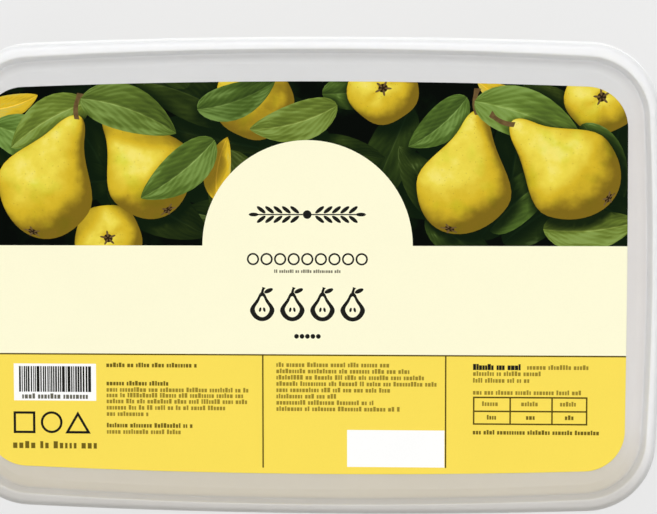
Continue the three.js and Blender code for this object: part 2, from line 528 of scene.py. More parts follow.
def fruit_colour(graph, at):
    """Golden skin with greener and russet patches, pores and a soft gleam."""
    colours = bpy.context.scene.tub_colours
    inner = graph.uv("motif")
    seeded = graph.field(
        "ShaderNodeVectorMath", {0: inner, 1: graph.attribute("tone")}, operation="ADD"
    )
    lumps = (graph.noise(seeded, 2.2, 3.0) - 0.5) * 0.5
    light, gleam = graph.group("Printed light", Slope=graph.uv("slope"), Lumps=lumps)
    shade = graph.attribute("shade") * 0.55
    light = light * (1.0 - shade)
    low = graph.mix(graph.span(light, 0.10, 0.62), colours.fruit_shade, colours.fruit_mid)
    tint = graph.mix(graph.span(light, 0.54, 1.02), low, colours.fruit_lit)
    green = graph.span(graph.noise(seeded, 1.3, 2.0), 0.5, 0.75) * 0.35
    tint = graph.mix(green, tint, graph.stained(tint, GREENER))
    cells = graph.field("ShaderNodeTexVoronoi", {"Vector": inner, "Scale": 9.0}, "Distance")
    tint = graph.mix(graph.span(cells, 0.16, 0.06) * 0.45, tint, PORE)
    russet = graph.span(graph.noise(seeded, 5.0, 6.0, 0.7), 0.62, 0.78) * 0.30
    tint = graph.mix(russet, tint, RUSSET)
    gleam = gleam * graph.math("SUBTRACT", 0.22, shade, clamp=True)
    return graph.mix(gleam, tint, GLEAM)


def leaf_colour(graph, dark, bright):
    """A leaf with a midrib and side veins, from dark in shade to bright in light."""
    along, across, _ = graph.split(graph.uv("motif"))
    tone = graph.attribute("tone")
    aside = graph.math("ABSOLUTE", across)
    within = graph.field("ShaderNodeCombineXYZ", {"X": along, "Y": across, "Z": tone})
    wander = graph.noise(within, 2.2, 2.0)
    wave = graph.math("PINGPONG", along * SIDE_VEINS - aside * 4.0 + wander * 1.6, 0.5)
    lumps = (wave - 0.25) * 0.28
    light = graph.group("Printed light", Slope=graph.uv("slope"), Lumps=lumps)[0]
    light = (light + (wander - 0.5) * 0.9) * (1.0 - graph.attribute("shade") * 0.9)
    depth = graph.math("POWER", graph.math("MULTIPLY", light, tone, clamp=True), 1.7)
    hue = graph.math("FRACT", tone * 37.0)
    bright = graph.mix(hue, bright, graph.stained(bright, LEAF_HUE))
    tint = graph.mix(depth, dark, bright)
    gloss = graph.span(light, 0.80, 1.15) * (tone * 0.45)
    tint = graph.mix(gloss, tint, graph.mix(0.5, bright, LEAF_GLOSS))
    side_veins = graph.span(wave, 0.08, 0.0) * graph.span(aside, 0.9, 0.2) * 0.22
    veins = graph.math("MAXIMUM", side_veins, graph.span(aside, 0.07, 0.03) * 0.5)
    return graph.mix(veins, tint, graph.stained(tint, LEAF_VEIN))


def backdrop_colour(graph, at):
    """Blurred darkness between the leaves."""
    colours = bpy.context.scene.tub_colours
    blur = graph.span(graph.noise(at, 95.0), 0.46, 0.70)
    return graph.mix(blur, colours.backdrop, colours.leaf_shade)


def stalk_colour(graph, at):
    return graph.mix(graph.noise(at, 900.0), DARK_STALK, PALE_STALK)


PLAIN_INKS = (
    "cream", "yellow", "white", "ink", "olive_ink", "brown_ink", "small_ink", "grey_ink",
    "pale_ink",
)


def make_print_materials():
    """The label's materials by the ink they show, in the order of its material slots."""
    colours = bpy.context.scene.tub_colours

    def plain(name, ink):
        return make_print(name, lambda graph, at: getattr(colours, ink))

    def leafy(name, dark, bright):
        return make_print(name, lambda graph, at: leaf_colour(graph, dark, bright), 0.14)

    return {
        "film": plain("Label film", "white"),
        "backdrop": make_print("Print backdrop", backdrop_colour, 0.3),
        "leaf": leafy("Print leaf", colours.leaf_shade, colours.leaf_lit),
        "gold_leaf": leafy("Print gold leaf", colours.fruit_shade, colours.fruit_mid),
        "fruit": make_print("Print fruit", fruit_colour, 0.10),
        "stalk": make_print("Print stalk", stalk_colour),
        "hollow": make_print("Print hollow", lambda graph, at: HOLLOW),
        **{ink: plain("Print " + ink.replace("_", " "), ink) for ink in PLAIN_INKS},
    }


# ---- Tub and lid ----


def wall_inset(z):
    """Inset in millimetres of the tub's tapered outer side at height z."""
    sizes = bpy.context.scene.tub_sizes
    drop = sizes.shoulder_height / MM - z
    return sizes.shoulder_inset / MM + drop * math.tan(sizes.draft)


def lid_profile():
    """From the middle of the panel outwards, over the rim, round the lip and back beneath."""
    sizes = in_millimetres(bpy.context.scene.tub_sizes)
    top = LID_HIGH.z / MM
    lip = LID_LOW.z / MM
    lip_top = lip + sizes.lip_height
    panel = LABEL_LOW.z / MM
    panel_inset = sizes.panel_inset
    moat = panel - 0.6
    moat_outer = sizes.moat_inset
    moat_inner = moat_outer + sizes.moat_width
    wall = sizes.lid_wall
    skirt = 1.45  # inner face of the skirt
    ridge = 1.75  # crest of the snap ridge under the tub's bead
    snap = 58.6  # height of that ridge
    return [
        (panel_inset + 2.5, panel),
        (panel_inset, panel, 2.5),
        (moat_inner, moat, 0.6),
        (moat_outer, moat, 0.3),
        (3.65, top, 0.5),  # inner edge of the rim
        (0.95, top, 2.0),  # outer shoulder
        (0.75, lip_top, 0.45),
        (0.0, lip_top, 0.25),
        (0.0, lip, 0.25),
        (skirt, lip, 0.15),
        (skirt, snap - 0.8, 0.4),
        (ridge, snap - 0.2, 0.2),
        (ridge, snap + 0.2, 0.2),
        (skirt, snap + 0.8, 0.4),
        (1.5, top - 0.65, 0.5),  # channel over the tub's rim
        (2.8, top - 0.65, 0.4),
        (moat_outer - 0.9 * wall, moat - wall, 0.4),
        (moat_inner + 0.2, moat - wall, 0.4),
        (panel_inset + 0.2, panel - wall, 1.5),
        (panel_inset + 3.0, panel - wall),
    ]


def tub_profile():
    """From the middle of the inside floor up the wall, over the rim and down to the base."""
    sizes = in_millimetres(bpy.context.scene.tub_sizes)
    wall = sizes.tub_wall
    foot = sizes.foot_inset
    recess = sizes.base_recess
    shoulder = sizes.shoulder_height
    slope = sizes.shoulder_rise
    top = TUB_HIGH.z / MM
    bead = 1.6  # outer face of the snap bead
    band = 2.05  # outer face of the band under it
    ledge = shoulder + 0.4  # height of the shoulder inside
    return [
        (foot + 2.0, recess + wall),
        (foot, recess + wall, 0.8),
        (foot - 0.6, wall, 0.8),
        (wall_inset(wall) + wall, wall, sizes.base_radius - wall),
        (wall_inset(ledge) + wall, ledge, 0.8),
        (band + 0.95, ledge + slope, 0.8),
        (2.75, 60.2, 3.0),  # leans outwards past the lid's moat
        (2.3, top - 0.3, 0.1),
        (2.15, top, 0.1),
        (1.85, top, 0.15),
        (bead, top - 0.6, 0.3),
        (bead, top - 1.8, 0.3),
        (band - 0.1, top - 2.5, 0.4),
        (band, shoulder + slope, 0.8),
        (sizes.shoulder_inset, shoulder, 0.8),
        (wall_inset(0), 0.0, sizes.base_radius),
        (foot, 0.0, 0.4),
        (foot + 0.6, recess, 0.5),
        (foot + 2.0, recess),
    ]


GATE = [  # radius and depth, in millimetres, of the moulding gate's well in the base
    (26.0, 0.0), (25.8, 0.12), (25.4, 0.12), (25.2, 0.0),
    (6.4, 0.0), (6.0, 0.3), (1.3, 0.35), (1.0, -0.15), (0.45, -0.2),
]


def tub_tint(graph):
    """White above the filling and faintly warm beside it."""
    colours = bpy.context.scene.tub_colours
    cloud = graph.noise(graph.place(), 25.0, 2.0) - 0.5
    height = graph.split(graph.place())[2] + cloud * (5 * MM)
    beside = graph.span(height, PUREE_HIGH.z + 1 * MM, PUREE_HIGH.z - 4 * MM)
    return graph.mix(beside, colours.plastic, colours.beside_filling)


def make_tub():
    recess = bpy.context.scene.tub_sizes.base_recess
    rings = inset_rings(tub_profile())
    rings += [(circle(radius * MM), recess + depth * MM) for radius, depth in GATE]
    piece = shell("moulded_tub", rings)
    piece.data.materials.append(make_plastic("Tub plastic", 0.6, 0.5, tub_tint))
    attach(piece, "root")
    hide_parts("tub")


NEAR_SHADE_SPAN = (-0.6, -1.0)  # shares of the lid's half width between which a side's painted light and painted shade set in
FAR_LIGHT_SPAN = (0.6, 1.0)  # a side's tints set in
PANEL_START = (4.0 * MM, 5.5 * MM)  # insets over which the rim's tint gives way to the panel's
LID_PAINTED_LIGHT_TINTS = {  # share of the plastic's colour on the rim, and on the panel over the filling; the far, side and near tints are painted light and painted shade
    "far": ((1.0, 1.0, 1.0), (0.75, 0.75, 0.75)),
    "side": ((0.9, 0.9, 0.9), (0.75, 0.72, 0.7)),
    "near": ((0.6, 0.58, 0.55), (0.65, 0.6, 0.5)),
}


def lid_painted_light_tint(graph):
    """Plastic with painted light: white on the skirt, painted light on the far side and warm
    painted shade on the near side, which the lip keeps; the panel darker than the rim, partly the
    filling showing through and partly painted light on the rim.
    """
    inset = graph.attribute("inset")
    panel = graph.span(inset, *PANEL_START)
    lit_and_shaded_tints = {side: graph.mix(panel, *pair) for side, pair in LID_PAINTED_LIGHT_TINTS.items()}
    _, y, z = graph.split(graph.place())
    cloud = graph.noise(graph.place(), 30.0) - 0.5
    depth = y / (LID_HIGH.y - inset) + cloud * 0.14
    # warm painted shade on the near side and painted light on the far side, fading in across the
    # lid's depth
    tint = graph.mix(graph.span(depth, *NEAR_SHADE_SPAN), lit_and_shaded_tints["side"], lit_and_shaded_tints["near"])
    tint = graph.mix(graph.span(depth, *FAR_LIGHT_SPAN), tint, lit_and_shaded_tints["far"])
    # the skirt is kept plain white; the lip keeps each side's painted light and painted shade
    skirt = graph.span(z, LID_HIGH.z - 0.7 * MM, LID_HIGH.z - 2.2 * MM)
    skirt = skirt * graph.span(inset, 3.0 * MM, 1.5 * MM)
    lip = graph.span(z, LID_LOW.z + 1.2 * MM, LID_LOW.z + 0.8 * MM)
    tint = graph.mix(skirt * (1.0 - lip), tint, (1.0, 1.0, 1.0))
    return graph.stained(bpy.context.scene.tub_colours.plastic, tint)


def make_lid():
    piece = shell("press_on_lid", inset_rings(lid_profile()))
    # the lid's plastic carries painted light and painted shade by side
    piece.data.materials.append(make_plastic("Lid plastic with painted light", 0.5, 0.6, lid_painted_light_tint))
    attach(piece, "root")
    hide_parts("lid")


# ---- Puree ----

SURFACE_RINGS = 30
FILLING_GAP = 0.3  # millimetres between the filling and the tub


def swirl(place):
    """Height in millimetres of the low swirls and ripples that a nozzle leaves."""
    coil = math.sin(place.x * 260 + 2 * math.sin(place.y * 120))
    return -0.16 * coil - 0.25 * abs(noise.noise(place * 60))


def puree_material():
    """Glossy puree with fine fibres."""
    puree = bpy.context.scene.tub_colours.puree
    graph = Surface("Puree", {
        "Subsurface Weight": 0.4, "Subsurface Radius": (1.0, 0.6, 0.2),
        "Subsurface Scale": 3 * MM,
    })
    fibres = graph.noise(graph.place(), 900.0, 6.0, 0.65)
    light = graph.stained(puree, (1.25, 1.3, 1.4))
    tint = graph.mix(graph.span(fibres, 0.35, 0.7), puree, light)
    return graph.covered(tint, fibres * 0.25 + 0.18, fibres, 0.5, 0.4 * MM)


def make_puree():
    sizes = in_millimetres(bpy.context.scene.tub_sizes)
    wall = sizes.tub_wall
    foot = sizes.foot_inset - FILLING_GAP
    top = PUREE_HIGH.z / MM

    def side(z):
        return wall_inset(z) + wall + FILLING_GAP

    profile = inset_rings([
        (side(top) + 1.2, top - 0.4),
        (side(top - 1.0), top - 1.0, 0.8),
        (side(wall), wall, sizes.base_radius - wall),
        (foot - 0.6, wall),
        (foot, sizes.base_recess + wall),
    ])
    edge, level = profile[0]
    surface = [
        ([p * step / SURFACE_RINGS for p in edge], level) for step in range(1, SURFACE_RINGS)
    ]
    piece = shell("fruit_puree", surface + profile)
    for vert in piece.data.vertices:
        if vert.co.z > level - 0.1 * MM:
            vert.co.z = (top - 0.35 + swirl(vert.co)) * MM
    piece.data.materials.append(puree_material())
    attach(piece, "root")
    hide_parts("puree")


# ---- Printed motifs ----

SHADOW_SHIFT = Vector((1.1, -1.5))  # millimetres
SHADOW_EDGE = (-0.5, 4.0)  # millimetres over which a shadow fades
FLAT = 10  # layer of the plain print, over the picture
LEAF_PEAK = 0.402  # highest value of t ** 0.55 * (1 - t) ** 0.8
LEAF_FOLD = 0.42  # slopes of a leaf from its midrib, along it and across it
LEAF_CURL = 0.8
LEAF_CUP = 0.34
NECK = (0.32, 0.86)  # shares of a pear's length between which it narrows
RIBS = 5
LEAF_STEPS = 14
PEAR_STEPS = 26
FRUIT_STEPS = 44
SEPAL_STEPS = 14


class Motif:
    """A printed area: its outline in millimetres, its ink, and how its inside is shaded."""

    def __init__(self, points, ink, tone=1.0, layer=FLAT):
        self.points = [Vector(p) for p in points]
        following = self.points[1:] + self.points[:1]
        if sum(a.cross(b) for a, b in zip(self.points, following)) < 0:
            self.points.reverse()
        self.ink = ink
        self.tone = tone
        self.layer = layer

    def inside(self, point):
        """Place within the motif and the slope of the form there."""
        return (0.0, 0.0), (0.0, 0.0)


class Along(Motif):
    """A motif drawn along an axis: half_width(t) gives its half width from t = 0 to 1."""

    def __init__(self, start, end, bend, sides, ink, tone, layer, steps=LEAF_STEPS):
        self.start = Vector(start)
        self.size = (Vector(end) - self.start).length
        self.along = (Vector(end) - self.start).normalized()
        self.across = Vector((-self.along.y, self.along.x))
        self.bend = bend
        places = [0.5 - 0.5 * math.cos(math.pi * i / steps) for i in range(steps + 1)]
        low, high = sides
        out = [self.at(t, high) for t in places]
        back = [self.at(t, low) for t in places[-2:0:-1]]
        super().__init__(out + back, ink, tone, layer)

    def middle(self, t):
        return 4 * self.bend * t * (1 - t)

    def at(self, t, side):
        aside = self.middle(t) + side * self.half_width(t)
        return self.start + self.size * t * self.along + aside * self.across

    def local(self, point):
        offset = point - self.start
        t = offset.dot(self.along) / self.size
        return t, offset.dot(self.across) - self.middle(clamped(t))

    def reach(self, point):
        """About how far the point lies from the motif."""
        t, aside = self.local(point)
        beyond = max(-t, t - 1, 0) * self.size
        return math.hypot(max(abs(aside) - self.half_width(clamped(t)), 0), beyond)


class LeafHalf(Along):
    """One half of a leaf, on the side of its midrib given by side."""

    def __init__(self, start, end, width, bend, side, tilt, tone, layer, ink):
        self.width = width
        self.side = side
        self.tilt = tilt
        super().__init__(start, end, bend, (0, side), ink, tone, layer)

    def half_width(self, t):
        return self.width * max(t, 0) ** 0.55 * max(1 - t, 0) ** 0.8 / LEAF_PEAK

    def inside(self, point):
        t, aside = self.local(point)
        t = clamped(t)
        across = aside / max(self.half_width(t), 0.2)
        slope = self.tilt - self.side * LEAF_FOLD * self.across
        slope += LEAF_CURL * (t - 0.45) * self.along
        slope += LEAF_CUP * across * self.across
        return (t, clamped(across, -1)), slope


class Pear(Along):
    """A pear from its blossom end to its neck."""

    def __init__(self, start, degrees, size, radius, bend, tone=1.0, layer=FLAT):
        self.radius = radius
        end = Vector(start) + size * toward(math.radians(degrees))
        super().__init__(start, end, bend, (-1, 1), "fruit", tone, layer, PEAR_STEPS)

    def half_width(self, t):
        taper = 1.03 - 0.58 * smoothstep(*NECK, t)
        return self.radius * math.sqrt(max(4 * t * (1 - t), 0)) * taper

    def inside(self, point):
        t, aside = self.local(point)
        t = clamped(t, 0.012, 0.988)
        steep = (self.half_width(t + 0.01) - self.half_width(t - 0.01)) / (0.02 * self.size)
        lean = math.sqrt(1 + steep**2)
        across = clamped(aside / self.half_width(t), -1)
        slope = -steep / lean * self.along + across / lean * self.across
        return (point - self.start) / 10, slope


class RoundFruit(Motif):
    """A fruit seen from its blossom end, with low ribs round the hollow."""

    def __init__(self, centre, radius, turn, tone, layer):
        self.centre = Vector(centre)
        self.radius = radius
        self.turn = turn
        points = []
        for i in range(FRUIT_STEPS):
            angle = 2 * math.pi * i / FRUIT_STEPS
            wide = radius * (1 + 0.030 * math.cos(RIBS * angle + turn))
            points.append(self.centre + wide * toward(angle))
        super().__init__(points, "fruit", tone, layer)

    def inside(self, point):
        offset = point - self.centre
        far = min(offset.length / self.radius, 1.0)
        if far < 1e-4:
            return super().inside(point)
        out = offset.normalized()
        rib = math.sin(RIBS * angle_of(offset) + self.turn)
        rib *= 0.42 * (1 - far) * smoothstep(0.05, 0.35, far)
        tilt = far**1.4 - 0.75 * math.exp(-((far / 0.17) ** 2))
        return offset / 10, tilt * out + rib * Vector((-out.y, out.x))

    def reach(self, point):
        return (point - self.centre).length - self.radius


class Stalk(Along):
    """A fruit stalk, a little thicker at its end."""

    def __init__(self, start, end, bend, width, layer=FLAT):
        self.width = width
        super().__init__(start, end, bend, (-1, 1), "stalk", 1.0, layer)

    def half_width(self, t):
        return self.width * (0.8 + 0.6 * smoothstep(0.75, 1.0, t) + 0.3 * (1 - t)) / 2


def oval(centre, wide, high, turn=0.0, steps=20):
    """Corners of an oval whose half width, wide, lies in the direction turn."""
    points = []
    for i in range(steps):
        angle = 2 * math.pi * i / steps
        x, y = wide * math.cos(angle), high * math.sin(angle)
        points.append((
            centre[0] + x * math.cos(turn) - y * math.sin(turn),
            centre[1] + x * math.sin(turn) + y * math.cos(turn),
        ))
    return points


def calyx(centre, radius, turn, squash, layer):
    """The dried blossom end of a fruit: a dark hollow and its sepals, squashed along turn."""
    along = toward(turn)
    across = Vector((-along.y, along.x))

    def blob(middle, long, wide, angle, ink, layer):
        corners = oval(middle, long, wide, angle, SEPAL_STEPS)
        points = [Vector(centre) + squash * x * along + y * across for x, y in corners]
        return Motif(points, ink, 1.0, layer)

    parts = [blob((0, 0), radius * 0.8, radius * 0.8, 0, "hollow", layer)]
    for i in range(RIBS):
        angle = 0.5 + i * 2 * math.pi / RIBS
        middle = (radius * 0.85 * math.cos(angle), radius * 0.85 * math.sin(angle))
        parts.append(blob(middle, radius * 0.62, radius * 0.2, angle, "stalk", layer + 0.01))
    return parts


def leaf(start, angle, size, width, bend, tilt, tone, layer, ink="leaf"):
    """Both halves of a leaf."""
    end = Vector(start) + size * toward(angle)
    return [
        LeafHalf(start, end, width, bend, side, Vector(tilt), tone, layer, ink)
        for side in (-1, 1)
    ]


PEARS = [  # blossom end, direction of the neck in degrees, size, radius, bend, layer
    ((-73.5, 10.5), 68, 34.5, 13.4, 1.3, 5),
    ((-36.5, 16.5), 122, 32.0, 12.3, -1.2, 3),
    ((37.0, 11.5), 76, 33.0, 12.8, -1.4, 4),
    ((80.0, 20.0), 142, 33.5, 13.0, 1.2, 5),
]
ROUND_FRUIT = [  # centre, radius, turn, layer
    ((-14.0, 46.5), 10.4, 0.6, 2),
    ((20.0, 49.5), 9.4, 1.9, 3),
    ((-53.0, 10.0), 9.0, 1.2, 2),
    ((77.0, 47.0), 9.6, 2.5, 2),
]
SCATTERED_LEAVES = [  # number, low and high, lowest and highest tone, layer
    (20, (4, 56), (0.10, 0.28), 0),
    (20, (6, 54), (0.28, 0.56), 1),
]
GOLD_LEAVES = [  # start, direction in degrees, size, half width, bend
    ((-24.0, 20.0), 80, 17, 3.6, 1.2),
    ((60.0, 44.0), 155, 17, 3.4, 1.0),
    ((-86.0, 44.0), 15, 15, 3.2, -1.0),
]
FRONT_LEAVES = [  # start, direction in degrees, size, half width, bend, tilt, tone
    ((-84.0, 40.0), -28, 26, 6.0, 1.6, (-0.2, 0.2), 0.92),
    ((-58.0, 46.0), -150, 24, 5.6, -1.5, (-0.1, 0.25), 1.05),
    ((-60.0, 47.0), -20, 27, 6.2, 1.8, (-0.25, 0.1), 0.88),
    ((-24.5, 36.0), 218, 25, 5.6, 1.2, (-0.1, 0.1), 0.9),
    ((-29.0, 44.0), 20, 22, 4.8, -1.4, (0.0, 0.3), 0.76),
    ((8.0, 45.0), -165, 24, 5.2, 1.6, (-0.2, 0.2), 0.97),
    ((4.0, 48.0), 10, 20, 4.6, -1.0, (-0.1, 0.1), 0.76),
    ((44.0, 46.0), -20, 30, 6.6, 1.4, (-0.2, 0.25), 1.01),
    ((42.0, 47.0), -140, 20, 4.8, 1.2, (-0.1, 0.1), 0.84),
    ((48.0, 12.0), 40, 26, 5.6, 1.5, (0.05, -0.1), 0.84),
    ((62.0, 12.5), 5, 25, 5.6, -1.4, (-0.15, 0.2), 0.97),
    ((72.0, 40.0), -60, 22, 5.0, 1.0, (0.1, 0.2), 0.76),
]


def foliage(rng, count, band, tones, layer):
    """Leaves scattered over the picture band."""
    leaves = []
    for _ in range(count):
        start = (rng.uniform(-88, 88), rng.uniform(*band))
        size = rng.uniform(20, 34)
        angle = rng.uniform(0, 2 * math.pi)
        width = size * rng.uniform(0.17, 0.25)
        bend = rng.uniform(-2.5, 2.5)
        tilt = (rng.uniform(-0.35, 0.35), rng.uniform(-0.35, 0.35))
        leaves += leaf(start, angle, size, width, bend, tilt, rng.uniform(*tones), layer)
    return leaves


def picture():
    """A generic picture of golden pears among leaves, from back to front."""
    rng = random.Random(11)
    motifs = []
    for scattered in SCATTERED_LEAVES:
        motifs += foliage(rng, *scattered)
    for start, degrees, size, radius, bend, layer in PEARS:
        pear = Pear(start, degrees, size, radius, bend, rng.random() * 9, layer)
        neck = pear.at(0.99, 0)
        tip = neck + 6.0 * pear.along + 1.6 * pear.across
        motifs += [Stalk(neck - 0.8 * pear.along, tip, 0.8, 1.3, layer + 0.1), pear]
        motifs += calyx(pear.at(0.035, 0), 1.7, math.radians(degrees), 0.5, layer + 0.2)
    for centre, radius, turn, layer in ROUND_FRUIT:
        motifs.append(RoundFruit(centre, radius, turn, rng.random() * 9, layer))
        motifs += calyx(centre, radius * 0.17, turn, 0.9, layer + 0.1)
    for start, degrees, *form in GOLD_LEAVES:
        motifs += leaf(start, math.radians(degrees), *form, (-0.2, 0.2), 1.3, 1.5, "gold_leaf")
    for start, degrees, *form, tone in FRONT_LEAVES:
        layer = 4.5 if tone > 0.85 else 2.5  # the darker leaves lie further back
        motifs += leaf(start, math.radians(degrees), *form, tone, layer)
    return sorted(motifs, key=lambda motif: motif.layer)


# ---- Label ----

PRINT_SHIFT = Vector((0.42, 0.43))  # millimetres from the lid's middle to the print's
PRINT_TURN = Matrix.Rotation(0.0024, 2)
PAST_END = 90  # from the label's middle to past its ends
PAST_SIDE = 60
ARCH_STEPS = 72
SMALL = 0.97  # height of a line of small print
LEFT_LINES = [  # middle, width and ink of each line of the left column
    (-24.0, 24.9, "brown_ink"), (-28.9, 17.2, "brown_ink"), (-30.6, 38.6, "small_ink"),
    (-32.1, 37.3, "small_ink"), (-33.7, 37.8, "small_ink"), (-35.4, 32.0, "small_ink"),
    (-37.1, 11.2, "small_ink"), (-40.2, 23.2, "brown_ink"), (-41.9, 20.5, "small_ink"),
]
MIDDLE_LINES = (30.7, 35.7, 39.2, 43.0, 30.3, 16.1, 25.9, 33.4)


def on_lid(point):
    """From the print's own place, in millimetres, to its place on the lid, in metres."""
    return (PRINT_TURN @ point + PRINT_SHIFT) * MM


def label_outline():
    """The label's outline as the print has it, in millimetres."""
    sizes = bpy.context.scene.label_sizes
    middle = (LABEL_LOW + LABEL_HIGH).xy / 2
    half = (LABEL_HIGH - LABEL_LOW).xy / 2
    points = outline(
        half.x, half.y, sizes.long_side_radius, sizes.short_side_radius, sizes.corner_radius
    )
    return [PRINT_TURN.transposed() @ ((p + middle) / MM - PRINT_SHIFT) for p in points]


def box(left, bottom, right, top, ink):
    return Motif([(left, bottom), (right, bottom), (right, top), (left, top)], ink)


def lined_box(left, bottom, right, top, line, ink):
    """A box drawn as a line on the yellow field."""
    return [
        box(left, bottom, right, top, ink),
        box(left + line, bottom + line, right - line, top - line, "yellow"),
    ]


def disc(centre, radius, ink, steps=20):
    return Motif(oval(centre, radius, radius, 0.0, steps), ink)


def blocks(rng, left, middle, width, height, ink, gap=0.20):
    """A line of small plain blocks, grouped as words are, in place of small print."""
    motifs = []
    x = left
    low = middle - height / 2
    while x < left + width - height * 0.5:
        for _ in range(rng.randint(2, 10)):
            wide = height * rng.uniform(0.42, 0.78)
            if x + wide > left + width:
                break
            tall = height * rng.choice((1.0, 1.0, 1.0, 1.28))
            motifs.append(box(x, low, x + wide, low + tall, ink))
            x += wide + height * gap
        x += height * 0.55
    return motifs


def small_print(rng):
    """The columns of the yellow field."""
    motifs = []
    for y, width, ink in LEFT_LINES:
        motifs += blocks(rng, -53.8, y, width, SMALL, ink)
    for row, width in enumerate(MIDDLE_LINES):
        motifs += blocks(rng, -8.3, -23.7 - 1.68 * row, width, SMALL, "small_ink")
    motifs += blocks(rng, 43.8, -24.1, 13.2, 1.25, "ink", 0.07)
    for left, y, width in (
        (58.0, -24.1, 16.2), (43.8, -25.8, 18.2), (43.8, -27.6, 15.0), (43.8, -30.8, 29.1)
    ):
        motifs += blocks(rng, left, y, width, SMALL, "small_ink")
    motifs += blocks(rng, 43.8, -41.4, 33.6, 0.95, "brown_ink")
    motifs += blocks(rng, -79.2, -45.7, 23.5, 1.5, "brown_ink", 0.35)
    return motifs


def bars(rng, left, right, low, high):
    """Upright bars of several widths, which encode nothing."""
    motifs = []
    x = left
    while x < right:
        wide = rng.choice((0.28, 0.38, 0.50, 0.78))
        motifs.append(box(x, low, min(x + wide, right), high, "ink"))
        x += wide + rng.choice((0.15, 0.18, 0.22, 0.30))
    return motifs


def table(rng):
    """A table of three columns and two rows, with short dashes."""
    left, low, right, high = 43.8, -39.3, 73.9, -31.8
    line = 0.42
    motifs = lined_box(left, low, right, high, line, "olive_ink")
    for x in (53.4, 64.4):
        motifs.append(box(x, low + 0.1, x + line, high - 0.1, "olive_ink"))
    motifs.append(box(left, -35.9, right, -35.9 + line, "olive_ink"))
    for centre in (48.6, 58.9, 69.1):
        motifs += blocks(rng, centre - 2.4, -33.8, 4.8, SMALL, "small_ink")
        motifs += blocks(rng, centre - 1.1, -37.4, 2.4, SMALL, "brown_ink")
    return motifs


def signs():
    """Three plain outlined shapes: a square, a circle and a triangle."""
    motifs = lined_box(-79.0, -42.4, -73.1, -36.5, 0.66, "ink")
    for radius, ink in ((2.95, "ink"), (2.30, "yellow")):
        motifs.append(disc((-68.7, -39.4), radius, ink, 32))
    for radius, ink in ((4.0, "ink"), (2.65, "yellow")):
        corners = [
            (-61.6 + radius * math.sin(a), -40.4 + radius * math.cos(a))
            for a in (0, 2 * math.pi / 3, 4 * math.pi / 3)
        ]
        motifs.append(Motif(corners, ink))
    return motifs


def sprig(y, wide, ink):
    """A level twig with pairs of small leaves, mirrored about its middle."""
    motifs = [box(-wide, y - 0.16, wide, y + 0.16, ink)]
    for side in (-1, 1):
        for step in range(5):
            at = side * (2.4 + step * (wide - 3.4) / 4.6)
            for up in (-1, 1):
                middle = (at + side * 0.9, y + up * 1.25)
                turn = side * up * math.radians(38)
                motifs.append(Motif(oval(middle, 1.45, 0.50, turn), ink))
        motifs.append(Motif(oval((side * (wide + 0.6), y), 1.3, 0.5), ink))
    motifs.append(disc((0, y), 1.15, ink))
    return motifs


def pictograms(y, pitch, high, ink):
    """A row of plain cut pears with their pips, stalk and a leaf."""
    motifs = []
    low = y - high / 2
    for step in (-1.5, -0.5, 0.5, 1.5):
        x = step * pitch
        skin = Pear((x, low), 90, high * 0.86, high * 0.37, 0)
        flesh = Pear((x, y - high * 0.38), 90, high * 0.62, high * 0.225, 0)
        stalk = Stalk((x, low + high * 0.84 - 0.3), (x + 0.5, y + high / 2), 0.1, 0.7)
        motifs += [
            Motif(skin.points, ink),
            Motif(flesh.points, "cream"),
            *(
                Motif(oval((x + side * 0.55, y - high * 0.16), 0.32, 0.62, side * 0.25), ink)
                for side in (-1, 1)
            ),
            Motif(stalk.points, ink),
            Motif(oval((x + 1.7, y + high * 0.40), 1.25, 0.55, math.radians(24)), ink),
        ]
    return motifs


def label_print():
    """All that is printed on the label, from the film up."""
    sizes = in_millimetres(bpy.context.scene.label_sizes)
    rng = random.Random(5)
    band = sizes.band_height
    rule = sizes.rule_height
    arch = sizes.arch_radius
    half_line = sizes.rule_width / 2
    angles = [math.pi * i / ARCH_STEPS for i in range(ARCH_STEPS + 1)]
    field = [
        (-PAST_END, rule), (PAST_END, rule), (PAST_END, band),
        *((arch * math.cos(a), band + arch * math.sin(a)) for a in angles),
        (-PAST_END, band),
    ]
    motifs = [Motif(label_outline(), "backdrop", 1.0, -1), *picture()]
    motifs += [
        Motif(field, "cream"),
        box(-PAST_END, -PAST_SIDE, PAST_END, rule, "yellow"),
        box(-PAST_END, rule - half_line, PAST_END, rule + half_line, "olive_ink"),
        box(-11.9 - half_line, -51.2, -11.9 + half_line, rule, "olive_ink"),
        box(36.6 - half_line, -50.9, 36.6 + half_line, rule, "olive_ink"),
        box(10.5, -50.8, 36.3, -40.9, "white"),
        box(-78.8, -33.55, -56.6, -23.6, "white"),
        *bars(rng, -77.4, -57.9, -31.2, -24.3),
        *blocks(rng, -76.6, -32.5, 18.2, 1.1, "grey_ink"),
        *signs(),
        *small_print(rng),
        *table(rng),
        *sprig(16.3, 13.6, "ink"),
        *pictograms(-7.5, 8.0, 9.0, "ink"),
    ]
    for step in range(-4, 5):
        motifs += [disc((3.6 * step, 4.5), 1.64, "ink"), disc((3.6 * step, 4.5), 1.16, "cream")]
    for step in range(-2, 3):
        motifs.append(disc((1.45 * step, -16.0), 0.64, "ink", 12))
    motifs += blocks(rng, -8.8, 1.2, 17.6, 0.7, "pale_ink")
    return motifs


def shade_from(casters, layer, point):
    """How dark the motifs printed over this layer make the point."""
    shade = 0.0
    source = point - SHADOW_SHIFT
    for motif in casters:
        if motif.layer > layer + 0.3:
            shade = max(shade, 1 - smoothstep(*SHADOW_EDGE, motif.reach(source)))
    return shade


GRID_START = (-87, 6.5)
GRID_COLUMNS = 151
GRID_ROWS = 42
GRID_STEP = 1.15
GRID_JITTER = 0.25
CUT_INSIDE = 1  # keeps the triangles inside the outlines
CUT_MARGIN = 1e-5


